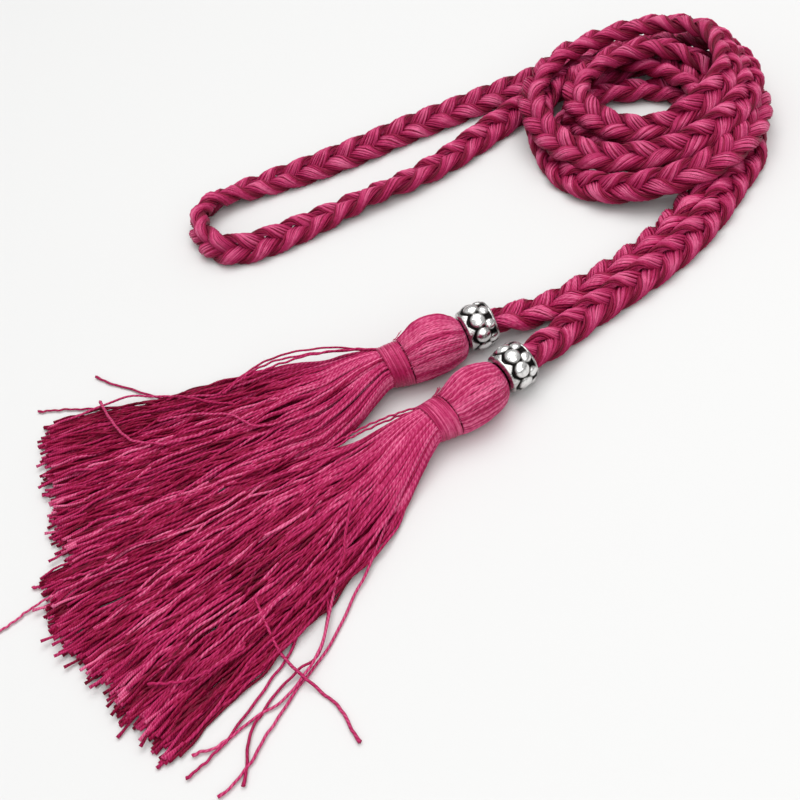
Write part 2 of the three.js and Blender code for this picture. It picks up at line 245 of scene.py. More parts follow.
def tubes(paths, radii, sides=5, up=(0, 0, 1)):
    """Corner points and faces of round tubes along T paths of N points.

    A ring's corner is the path's point plus radius times (cos a across + sin a over), with across
    along up x tangent and over along tangent x across. A flat face closes each end."""
    paths = np.asarray(paths, float)
    count, steps, _ = paths.shape
    radii = np.broadcast_to(radii, (count, steps))
    tangent = unit(np.gradient(paths, axis=1))
    across = unit(np.cross(np.broadcast_to(up, paths.shape), tangent))
    over = np.cross(tangent, across)
    a = 2 * np.pi * np.arange(sides) / sides
    ring = np.cos(a)[:, None] * across[..., None, :] + np.sin(a)[:, None] * over[..., None, :]
    points = (paths[..., None, :] + radii[..., None, None] * ring).reshape(-1, 3)
    grid = np.arange(count * steps * sides).reshape(count, steps, sides)
    nxt = np.roll(grid, -1, axis=2)
    quads = np.stack([grid[:, :-1], nxt[:, :-1], nxt[:, 1:], grid[:, 1:]], -1).reshape(-1, 4)
    caps = np.vstack([grid[:, 0, ::-1], grid[:, -1]])
    length = np.cumsum(np.linalg.norm(np.diff(paths, axis=1, prepend=paths[:, :1]), axis=2), axis=1)
    u = np.broadcast_to(length[..., None], grid.shape)
    v = np.broadcast_to(np.arange(sides) / sides, grid.shape)
    v_next = v + 1 / sides
    uv = np.stack([
        np.stack([u[:, :-1], v[:, :-1]], -1), np.stack([u[:, :-1], v_next[:, :-1]], -1),
        np.stack([u[:, 1:], v_next[:, 1:]], -1), np.stack([u[:, 1:], v[:, 1:]], -1),
    ], 3).reshape(-1, 2)
    cap_uv = np.zeros((caps.size, 2))
    return points, [quads, caps], np.vstack([uv, cap_uv])


def hull_tube(rim):
    """Closed tube whose ring corners are given: rim holds a line of N points for each."""
    sides, steps, _ = rim.shape
    points = rim.transpose(1, 0, 2).reshape(-1, 3)
    grid = np.arange(len(points)).reshape(steps, sides)
    nxt = np.roll(grid, -1, axis=1)
    quads = np.stack([grid[:-1], nxt[:-1], nxt[1:], grid[1:]], -1).reshape(-1, 4)
    caps = np.stack([grid[0, ::-1], grid[-1]])
    return points, [quads, caps], np.zeros((quads.size + caps.size, 2))


def join(shapes):
    """One shape from several: the corner numbers of each are raised by the points before it."""
    points, quads, caps, quad_uv, cap_uv, base = [], [], [], [], [], 0
    for p, (q, c), uv in shapes:
        points.append(p)
        quads.append(q + base)
        caps.append(c + base)
        quad_uv.append(uv[:q.size])
        cap_uv.append(uv[q.size:])
        base += len(p)
    return np.vstack(points), [np.vstack(quads), *caps], np.vstack(quad_uv + cap_uv)


def new_piece(name, shape, tone, material):
    """Blender object from points in millimetres, faces of equal corner counts, UVs and tones."""
    points, groups, uv = shape
    mesh = bpy.data.meshes.new(name)
    mesh.vertices.add(len(points))
    mesh.vertices.foreach_set("co", (points * MM).ravel())
    corners = np.concatenate([faces.ravel() for faces in groups])
    sizes = np.concatenate([np.full(len(faces), faces.shape[1]) for faces in groups])
    mesh.loops.add(len(corners))
    mesh.loops.foreach_set("vertex_index", corners)
    mesh.polygons.add(len(sizes))
    mesh.polygons.foreach_set("loop_start", np.concatenate([[0], np.cumsum(sizes)[:-1]]))
    mesh.polygons.foreach_set("use_smooth", sizes == 4)
    mesh.update(calc_edges=True)
    mesh.uv_layers.new(name="thread").data.foreach_set("uv", uv.ravel())
    mesh.attributes.new("tone", "FLOAT", "POINT").data.foreach_set("value", tone.ravel())
    mesh.materials.append(material)
    piece = bpy.data.objects.new(name, mesh)
    bpy.context.scene.collection.objects.link(piece)
    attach(piece, "root")
    print(f"{name}: {(sizes - 2).sum()} triangles")
    return piece


# %% [markdown]
# ## Silk
# The yarn is a smooth, plied rayon or silk. Up close each thread is a little rope: ridges wind
# round it. The colour is one raspberry dye, but a bundle shows many tones, since every thread
# takes the light its own way. So the shader takes a tone for each thread from an attribute, adds
# a slow change along it, draws the twist with a sine over the thread's own UV map, as a bump and
# as painted shade in the grooves and painted light on the ridges, and puts a soft sheen on top.

# %% Silk material
PLY_PITCH, PLIES = 1.9, 2


def add_node(tree, kind, settings=None, **sockets):
    """New shader node: settings are its properties, sockets its inputs by name or number."""
    node = tree.nodes.new("ShaderNode" + kind)
    for key, value in (settings or {}).items():
        setattr(node, key, value)
    for key, value in sockets.items():
        spot = node.inputs[int(key[1:])] if key[0] == "_" else node.inputs[key.replace("_", " ")]
        if isinstance(value, bpy.types.NodeSocket):
            tree.links.new(value, spot)
        else:
            spot.default_value = value
    return node


def math(tree, operation, a, b=0.0, c=0.0):
    """One Math node, given by its operation and up to three values or sockets."""
    return add_node(tree, "Math", {"operation": operation}, _0=a, _1=b, _2=c).outputs[0]


def ramp(tree, factor, stops):
    """Colour ramp through stops of (place, colour)."""
    node = add_node(tree, "ValToRGB", _0=factor)
    while len(node.color_ramp.elements) < len(stops):
        node.color_ramp.elements.new(0.5)
    for element, (place, colour) in zip(node.color_ramp.elements, stops):
        element.position, element.color = place, (*colour, 1)
    return node.outputs["Color"]


def silk_material(name, pitch, plies, look, colours):
    """Plied thread: tone + noise picks the colour, and the ridges are
    sin(2 pi (u (0.7 + 0.5 tone) / pitch + plies v + tone)). The ridges bump the surface and shift
    the colour by the look's stripe share: painted light on the ridges, painted shade in the
    grooves."""
    material = bpy.data.materials.new(name)
    material.use_nodes = True
    tree = material.node_tree
    shader = tree.nodes["Principled BSDF"]
    uv = add_node(tree, "UVMap", {"uv_map": "thread"}).outputs["UV"]
    split = add_node(tree, "SeparateXYZ", Vector=uv)
    tone = add_node(tree, "Attribute", {"attribute_name": "tone"}).outputs["Fac"]
    tightness = math(tree, "MULTIPLY_ADD", tone, 0.5 / pitch, 0.7 / pitch)
    turns = math(tree, "MULTIPLY_ADD", split.outputs["X"], tightness,
                 math(tree, "MULTIPLY_ADD", split.outputs["Y"], float(plies), tone))
    wave = math(tree, "SINE", math(tree, "MULTIPLY", turns, 2 * np.pi))
    twist = math(tree, "MULTIPLY_ADD", wave, 0.5, 0.5)
    place = add_node(tree, "TexCoord").outputs["Object"]
    patch = add_node(tree, "TexNoise", Vector=place, Scale=160.0, Detail=2.0, Roughness=0.6)
    fleck = add_node(tree, "TexNoise", Vector=place, Scale=700.0, Detail=2.0, Roughness=0.7)
    uneven = tone
    for noise, weight in ((patch, 0.3), (fleck, 0.2)):
        lowered = math(tree, "SUBTRACT", uneven, weight / 2)
        uneven = math(tree, "MULTIPLY_ADD", noise.outputs["Fac"], weight, lowered)
    # painted light on the twist's ridges and painted shade in its grooves, over the uneven tone
    shade = math(tree, "MULTIPLY_ADD", twist, look["stripe"],
                 math(tree, "SUBTRACT", uneven, look["stripe"] / 2))
    tree.links.new(ramp(tree, shade, colours), shader.inputs["Base Color"])
    fibre = add_node(tree, "CombineXYZ", X=math(tree, "MULTIPLY", split.outputs["X"], 0.6),
                     Y=math(tree, "MULTIPLY", turns, 9.0), Z=math(tree, "MULTIPLY", tone, 31.0))
    fine = add_node(tree, "TexNoise", Vector=fibre.outputs[0], Scale=1.0, Detail=2.0)
    height = math(tree, "MULTIPLY_ADD", fine.outputs["Fac"], 0.35, twist)
    bump = add_node(tree, "Bump", Strength=look["ridge"], Distance=0.15 * MM, Height=height)
    tree.links.new(bump.outputs["Normal"], shader.inputs["Normal"])
    rough = math(tree, "MULTIPLY_ADD", fine.outputs["Fac"], 0.2, look["rough"])
    tree.links.new(rough, shader.inputs["Roughness"])
    shader.inputs["Specular IOR Level"].default_value = look["shine"]
    shader.inputs["Specular Tint"].default_value = (1.0, 0.48, 0.70, 1)
    shader.inputs["Sheen Weight"].default_value = 0.04
    shader.inputs["Sheen Roughness"].default_value = 0.4
    shader.inputs["Sheen Tint"].default_value = (1.0, 0.38, 0.60, 1)
    return material


RASPBERRY = [
    (0.0, (0.10, 0.0001, 0.009)), (0.3, (0.23, 0.0008, 0.030)),
    (0.6, (0.44, 0.019, 0.107)), (1.0, (0.84, 0.20, 0.37)),
]
# stripe: how far the twist paints light on the ridges and shade in the grooves; ridge: bump
# strength
PLAIT_LOOK = {"stripe": 0.12, "ridge": 0.35, "rough": 0.34, "shine": 0.4}
TASSEL_LOOK = {"stripe": 0.18, "ridge": 0.4, "rough": 0.40, "shine": 0.25}
WOUND_LOOK = {"stripe": 0.05, "ridge": 0.15, "rough": 0.24, "shine": 0.45}
plaited_silk = silk_material("plaited_silk", PLY_PITCH, PLIES, PLAIT_LOOK, RASPBERRY)
tassel_silk = silk_material("tassel_silk", 1.5, PLIES, TASSEL_LOOK, RASPBERRY)
wound_silk = silk_material("wound_silk", 3.0, 1, WOUND_LOOK, RASPBERRY)
print("silks:", plaited_silk.name, tassel_silk.name, wound_silk.name)

# %% [markdown]
# ## The three strands
# Each strand is twenty threads lying round a flat oval, over a core that stops the light and is
# coloured dark, as painted shade between the threads. A thread that followed its place exactly
# would look machined, so each one wanders a little, with a few slow sines of its own. Threads at
# the oval's two ends tuck in under the next strand, so they get a darker tone, which is painted
# shade, and the strand's rising stretches get a lighter one, which is painted light. Each strand
# follows its own middle line, so it is longer than the plait.

# %% Strands
THREADS, THREAD_RADIUS, THREAD_SIDES = 20, 0.36, 4
# the cores are toned dark: painted shade between the threads of strands, heads and bindings
CORE_SHADE_TONE, CORE_INSIDE, CORE_SIDES, CORE_GAP = 0.30, 0.95, 8, 0.05
# painted light on a strand's rising stretches and painted shade at its tucked ends
RISE_SHADE, EDGE_SHADE = 0.15, 0.36
TURN_WANDER, SIZE_WANDER, TONE_WANDER = 0.16, 0.05, 0.05
TABLE_GAP = 0.02
rng = np.random.default_rng(7)


def wander(count, distance, waves, size):
    """Slow random change along `count` threads.

    It is size times the sum of weight sin(2 pi distance / wavelength + shift) over the waves,
    divided by the square root of their number."""
    shift = rng.uniform(0, 2 * np.pi, (len(waves), count, 1))
    weight = rng.uniform(0.5, 1, (len(waves), count, 1))
    wavelengths = np.array(waves).reshape(-1, 1, 1)
    waving = (weight * np.sin(2 * np.pi * distance / wavelengths + shift)).sum(0)
    return size * waving / len(waves) ** 0.5


def even_angles(a, b, count):
    """Angles that share an oval's outline evenly: its length is the sum of the small chords."""
    fine = np.linspace(0, 2 * np.pi, 1441)
    chord = np.hypot(np.diff(a * np.cos(fine)), np.diff(b * np.sin(fine)))
    outline = np.concatenate([[0], np.cumsum(chord)])
    return np.interp(np.arange(count) * outline[-1] / count, outline, fine)


def strand_paths(index, inside, count, loose):
    """Middle line, thread paths and tones of one strand.

    The middle is swing sin(w) sideways and rise sin(2w) up. A thread sits at a cos(p), b sin(p) of
    the oval, which is flat in the middle, rounder at the edge (sin^2 w), rolled by
    1.8 cos(w) - pi/2 and leaning with the strand's slant. Its tone is painted light and shade: it
    rises where the strand rises on top, as sin(2w), and falls at the oval's ends, which tuck under
    the next strand, as |cos(p)|^3."""
    w = (phase + np.pi / 6 + 2 * np.pi * index / 3)[:, None]
    centre = middle + scale * (SWING * np.sin(w) * side + RISE * np.sin(2 * w) * face)
    slope = 2 * np.pi * SWING * scale * np.cos(w) / PERIOD
    lean = np.arctan(slope) * LEAN
    roll = ROLL_OVER * np.cos(w) - np.pi / 2
    out = np.cos(lean) * side - np.sin(lean) * tangent
    wide = np.cos(roll) * out + np.sin(roll) * face
    thick = -np.sin(roll) * out + np.cos(roll) * face
    at_edge = np.sin(w[:, 0]) ** 2
    a = inside * (MIDDLE_WIDE + (EDGE_WIDE - MIDDLE_WIDE) * at_edge) / 2 - THREAD_RADIUS
    b = inside * (MIDDLE_THICK + (EDGE_THICK - MIDDLE_THICK) * at_edge) / 2 - THREAD_RADIUS
    middle_shape = MIDDLE_WIDE / 2 - THREAD_RADIUS, MIDDLE_THICK / 2 - THREAD_RADIUS
    angle = even_angles(*middle_shape, count)[:, None]
    angle = angle + wander(count, along, (31, 67, 140), TURN_WANDER * loose)
    grow = 1 + wander(count, along, (19, 43), SIZE_WANDER * loose)
    x = (a * grow * np.cos(angle))[..., None] * scale
    y = (b * grow * np.sin(angle))[..., None] * scale
    # painted shade at the oval's ends, where they tuck under the next strand, and painted light
    # where the strand rises on top
    tuck_shade = EDGE_SHADE * np.abs(np.cos(angle)) ** 3
    tone = RISE_SHADE * np.sin(2 * w[:, 0]) - tuck_shade
    return centre, centre + x * wide + y * thick, tone


def strand(index):
    """Strand piece: threads and core as tubes, kept above the table."""
    centre, threads, shade = strand_paths(index, 1.0, THREADS, 1.0)
    threads[..., 2] = np.maximum(threads[..., 2], THREAD_RADIUS + TABLE_GAP)
    ring = tubes(threads, THREAD_RADIUS * scale[:, 0] ** 0.5, THREAD_SIDES)
    rim = strand_paths(index, CORE_INSIDE, CORE_SIDES, 0.0)[1]
    rim[..., 2] = np.maximum(rim[..., 2], CORE_GAP)
    core = hull_tube(rim)
    own_tone = rng.uniform(0.47, 0.68, (THREADS, 1))
    thread_tone = own_tone + wander(THREADS, along, (26, 90), TONE_WANDER) + shade
    thread_tone = np.repeat(thread_tone.ravel(), THREAD_SIDES)
    # the core's dark tone is painted shade between the threads
    tone = np.concatenate([thread_tone, np.full(len(core[0]), CORE_SHADE_TONE)])
    shape = join([ring, core])
    piece = new_piece(f"strand_{index + 1}", shape, tone, plaited_silk)
    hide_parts(f"braid_strand_{index + 1}")


for index in range(3):
    strand(index)

# %% [markdown]
# ## Tassel places
# Both tassels are made the same way from a few numbers: where the bead is, which way the tassel
# points, and how wide its fringe has spread at each distance. Distances run from the bead's
# middle towards the fringe, and in the fan from the binding's end.

# %% Tassel numbers
# bead: its middle; along and fan: directions of head and fringe; widths: distance and half-width
# of the fan; reach: how long the threads are from one edge to the other
TASSELS = {
    "a": {
        "bead": (27.7, 12.35), "along": (-0.9826, -0.1859), "fan": (-0.9998, -0.0192),
        "girth": 1.04, "spin": 0.2,
        "widths": [[0, 5.8], [5, 9.4], [10, 12.8], [22, 18.4],
                   [47, 21.4], [72, 24.6], [94, 27.6], [108, 29.6]],
        "reach": [104, 104, 103, 103, 101, 101, 101, 98], "threads": 330,
    },
    "b": {
        "bead": (32.56, -8.32), "along": (-0.9205, -0.3909), "fan": (-0.926, -0.377),
        "girth": 0.96, "spin": 0.5,
        "widths": [[0, 5.3], [10, 9.8], [25, 17], [50, 24.6], [72, 29.4], [94, 34], [112, 37.6]],
        "reach": [106, 109, 110, 108, 105, 106, 104, 102], "threads": 390,
    },
}
# distance, radius, shift to the near side
HEAD = [
    [5, 3.9, 0], [6.4, 6, 0.2], [9, 7.5, 0.8], [13, 8.4, 1.4], [17, 8.4, 1.6], [20.5, 7.6, 1.5],
    [23.3, 6.8, 1.2],
]
BINDING = [[23.6, 6.5, 1.1], [24.4, 6.6, 1], [28.7, 6.1, 0.2], [29.5, 5.8, 0]]
PILE = np.array([[0, 12.8], [10, 10.4], [22, 8], [47, 5.8], [72, 4.6], [94, 3.6], [112, 2.6]])
ROOT, AXIS, CLEAR = 29.8, 7.05, 0.1
print("fringe threads", {letter: tassel["threads"] for letter, tassel in TASSELS.items()})


def tassel_place(tassel, distance, across, height):
    """Points of a tassel: bead + distance * along + across * left, at the given height."""
    dx, dy = tassel["along"]
    x = tassel["bead"][0] - CENTRE[0] + dx * distance - dy * across
    y = tassel["bead"][1] - CENTRE[1] + dy * distance + dx * across
    return np.stack(np.broadcast_arrays(x, y, height), -1)


def turned(tassel, distance, radius, angle, shift=0.0):
    """Points round a tassel's axis: shift + radius cos(a) across and axis + radius sin(a) up."""
    across, height = shift + radius * np.cos(angle), AXIS + radius * np.sin(angle)
    return tassel_place(tassel, distance, across, height)


def resting(tassel, table, distance, sink=0.0):
    """Radius, shift and lift of a turned piece at the distances.

    The radius is the table's times the tassel's girth. Where it is more than the axis is high,
    the piece is lifted until it clears the table."""
    rows = np.array(table, float)
    fine = spline(rows, np.linspace(0, len(rows) - 1, 200))
    radius = np.interp(distance, fine[:, 0], fine[:, 1]) * tassel["girth"]
    shift = np.interp(distance, fine[:, 0], fine[:, 2])
    lift = np.maximum(0, radius + CLEAR - AXIS)
    return radius - sink, shift, lift


# %% [markdown]
# ## Tassel heads
# The head is the skein folded over the plait's end: threads run from the bead, bulge over the
# knot inside and are drawn in again at the binding. On the model that is a turned shape, and
# here eighty threads follow its outline like meridians on a globe.

# %% Heads
HEAD_THREADS, HEAD_RADIUS, HEAD_STEPS, HEAD_SIDES = 80, 0.44, 40, 4
CORE_SINK = 1.2  # depth of a core under its outline, in thread radii


def turned_core(tassel, table, distance, sink, sides=24):
    """Closed turned solid that lies `sink` below the outline, to stop the light."""
    around = (2 * np.pi * np.arange(sides) / sides)[:, None]
    radius, shift, lift = resting(tassel, table, distance, sink)
    return hull_tube(turned(tassel, distance, radius, around, shift) + lift[:, None] * [0, 0, 1])


def head(letter, tassel):
    """Head piece: meridian threads on the turned outline over a core of the same outline, whose
    dark tone is painted shade between the threads.
    """
    distance = np.linspace(HEAD[0][0], HEAD[-1][0], HEAD_STEPS)
    radius, shift, lift = resting(tassel, HEAD, distance, HEAD_RADIUS)
    turns = 2 * np.pi * (np.arange(HEAD_THREADS)[:, None] / HEAD_THREADS)
    lean = 0.016 * (distance - HEAD[0][0])
    angle = turns + lean + wander(HEAD_THREADS, distance, (4.5, 8, 17), 0.022)
    loose = radius + wander(HEAD_THREADS, distance, (5, 9, 21), 0.10)
    paths = turned(tassel, distance, loose, angle, shift) + lift[:, None] * [0, 0, 1]
    paths[..., 2] = np.maximum(paths[..., 2], HEAD_RADIUS + TABLE_GAP)
    ring = tubes(paths, HEAD_RADIUS, HEAD_SIDES, up=(0.02, 0.01, 1))
    core = turned_core(tassel, HEAD, distance, CORE_SINK * HEAD_RADIUS)
    tone = np.repeat(rng.uniform(0.5, 0.86, HEAD_THREADS), HEAD_STEPS * HEAD_SIDES)
    tone = np.concatenate([tone, np.full(len(core[0]), CORE_SHADE_TONE)])
    piece = new_piece(f"head_{letter}", join([ring, core]), tone, plaited_silk)
    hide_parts(f"tassel_head_{letter}")


for letter, tassel in TASSELS.items():
    head(letter, tassel)

# %% [markdown]
# ## Bindings
# Under the head a fine, shiny thread is wound many times round the skein. It is a helix, so the
# path is a circle whose distance grows with the turn. Four steeper windings cross it, as in a
# hand-tied binding.

# %% Bindings
WRAP_RADIUS, WRAPS, WRAP_STEPS = 0.24, 15, 36
# start, end, turns and first angle of the windings that cross the others
CROSSINGS = [
    [24.2, 27.9, 2.3, 0.4], [28.6, 25.2, 1.7, 2.2], [25.0, 29.0, 1.4, 4.1], [28.9, 24.6, 2.6, 5.2],
]


def winding(tassel, start, end, turns, first, lift):
    """Helix round the binding: distance start + (end - start) t at the angle first + 2 pi turns t.

    It lies `lift` above the close winding."""
    t = np.linspace(0, 1, int(turns * WRAP_STEPS))
    distance = start + (end - start) * t
    radius, shift, up = resting(tassel, BINDING, distance, WRAP_RADIUS - lift)
    radius = radius + 0.05 * np.sin(2 * np.pi * 3.3 * t + first)
    skew = 0.25 * np.sin(2 * np.pi * turns * t + first)
    path = turned(tassel, distance + skew, radius, 2 * np.pi * turns * t + first, shift)
    return path + up[:, None] * [0, 0, 1]


def fray_paths(tassel, count=14):
    """Short loose ends that stand out of the winding's upper edge, over the head."""
    t = np.linspace(0, 1, 8)[None]
    start = rng.uniform(23.6, 24.6, (count, 1))
    length = rng.uniform(1.2, 3.4, (count, 1))
    angle = rng.uniform(0.3, 2.6, (count, 1)) + rng.normal(0, 0.12, (count, 1)) * t
    distance = start - length * t
    radius, shift, lift = resting(tassel, HEAD, distance)
    radius = radius + 0.2 + rng.uniform(0.1, 0.9, (count, 1)) * t**2
    return turned(tassel, distance, radius, angle, shift) + lift[..., None] * [0, 0, 1]


def binding(letter, tassel):
    """Binding piece: one close helix, crossing windings, loose ends and a core."""
    first, last = BINDING[0][0], BINDING[-1][0]
    axis = (*tassel["along"], 0)
    shapes = [tubes(winding(tassel, first, last, WRAPS, 0.4, 0)[None], 1.25 * WRAP_RADIUS, 6, axis)]
    for row in CROSSINGS:
        shapes.append(tubes(winding(tassel, *row, 0.1)[None], WRAP_RADIUS, 6, axis))
    shapes.append(tubes(fray_paths(tassel), 0.09))
    lit = sum(len(shape[0]) for shape in shapes)
    core = turned_core(tassel, BINDING, np.linspace(first, last, 12), CORE_SINK * WRAP_RADIUS)
    stripes = np.interp(np.linspace(0, 60, lit), np.arange(61), rng.uniform(0.3, 0.8, 61))
    # the core's dark tone is painted shade between the windings
    tone = np.concatenate([stripes, np.full(len(core[0]), CORE_SHADE_TONE)])
    piece = new_piece(f"winding_{letter}", join([*shapes, core]), tone, wound_silk)
    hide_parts(f"binding_{letter}")


for letter, tassel in TASSELS.items():
    binding(letter, tassel)

# %% [markdown]
# ## Fringes
# A fringe is the loose end of the skein: hundreds of threads leave the binding as a round
# bundle, fall to the table and spread into a low fan. Every thread gets two numbers, its place
# across the fan and its place in the pile, and keeps them all the way. Threads cling in small
# locks, so neighbours share part of their wandering, which leaves the dark gaps between locks.
# About one thread in eleven lies on top and crosses the others.
# Hair particles could do this too, but solid tubes export with the part.

# %% Fringes
FRINGE_RADIUS, FRINGE_SIDES, FRINGE_STEPS = 0.45, 4, 54
LOCK_SIZE, LAYERS, CROSS_SHARE = 6, 5, 0.09
ROOT_START, LONGEST = -3.0, 112
CUT_SPREAD, CUT_LENGTH = 1.3, 2.5
# distances over which threads come free, fall to the table and change from root to fan tones
FREE_WAY, FALL_START, FALL_WAY, TONE_WAY = 40, -2, 20, 55


def fan_place(tassel, distance, across, height):
    """Points of a fan: the binding's end plus distance * fan plus across to its left."""
    start = tassel_place(tassel, ROOT, 0.0, 0.0)
    dx, dy = tassel["fan"]
    x = start[0] + dx * distance - dy * across
    y = start[1] + dy * distance + dx * across
    return np.stack(np.broadcast_arrays(x, y, height), -1)


def cut_ends(length, radius):
    """Thread radius along a path: it spreads over the last stretch, as a cut plied end does."""
    left = length[:, -1:] - length
    return radius * (1 + (CUT_SPREAD - 1) * smooth(1 - left / CUT_LENGTH))


def fringe_paths(tassel):
    """Paths and tones of a fringe's threads.

    Near the root a thread stands in a round bundle, further out at f times the fan's half-width
    and g times the pile's height, which is lower towards the fan's edges."""
    count = tassel["threads"]
    f = np.sort((np.arange(count) + rng.uniform(0, 1, count)) / count * 2 - 1)
    g = (rng.permutation(count) % LAYERS + rng.uniform(0.1, 0.9, count)) / LAYERS
    reach = np.interp(f, np.linspace(-0.88, 0.88, 8), tassel["reach"])
    reach = reach + rng.normal(-0.8, 1.8, count)
    crossing = rng.uniform(0, 1, count) < CROSS_SHARE
    g = np.where(crossing, 0.95, g)
    t = np.linspace(0, 1, FRINGE_STEPS)[None]
    distance = ROOT_START + (reach[:, None] - ROOT_START) * t
    widths = np.array(tassel["widths"])
    half = np.interp(distance, widths[:, 0], widths[:, 1])
    pile = np.interp(distance, PILE[:, 0], PILE[:, 1])
    locks = np.arange(count) // LOCK_SIZE
    lock_count = locks.max() + 1
    free = smooth(distance / FREE_WAY)
    aside = rng.normal(0, 0.08, count) + crossing * rng.normal(0, 0.26, count)
    slant = np.clip(f[:, None] + aside[:, None] * t, -1, 1)
    own = wander(count, distance, (48, 95), 1.7) + wander(count, distance, (9, 14, 24), 0.22)
    lock_way = np.linspace(ROOT_START, LONGEST, FRINGE_STEPS)[None]
    shared = wander(lock_count, lock_way, (60, 130), 1.6)[locks]
    across = slant * half + (own + shared) * free
    lift = wander(lock_count, lock_way, (45, 90), 0.55)[locks]
    ripple = wander(count, distance, (11, 18, 40), 0.6)
    root_radius = BINDING[-1][1] * tassel["girth"] - FRINGE_RADIUS
    root_across = f * root_radius
    root_up = AXIS + (2 * g - 1) * np.sqrt(np.maximum(0.2, root_radius**2 - root_across**2))
    lying = FRINGE_RADIUS + g[:, None] * (pile * np.sqrt(1 - 0.9 * f[:, None] ** 2) - 0.8)
    spread = smooth((distance - FALL_START) / FALL_WAY)
    height = (1 - spread) * root_up[:, None] + spread * (lying + (lift + ripple) * free)
    height = np.maximum(height, FRINGE_RADIUS * CUT_SPREAD + TABLE_GAP)
    lock_tone = rng.normal(0, 0.13, lock_count)[locks]
    # painted shade on the lower layers of the pile (low g) and painted light on the crossing
    # threads on top, plus random tone per lock and thread
    depth_shade_tone = 0.56 * g - 0.15 + lock_tone + 0.1 * crossing + rng.normal(0, 0.11, count)
    root_tone = 0.66 + rng.normal(0, 0.12, count)
    mix = smooth(distance / TONE_WAY)
    tone = root_tone[:, None] * (1 - mix) + depth_shade_tone[:, None] * mix
    tone = tone + 0.16 * smooth((t - 0.93) / 0.07)
    return fan_place(tassel, distance, across, height), np.clip(tone, 0.03, 0.95)


# %% [markdown]
# ## Stray threads
# A few threads have escaped from each fan: some loop above it, some lie by themselves on the
# table. They are what makes a tassel look used, and they are so few that their points are listed
# one by one, each as x, y and height in millimetres.

# %% Stray threads
STRAY_RADIUS, STRAY_STEPS = 0.42, 70
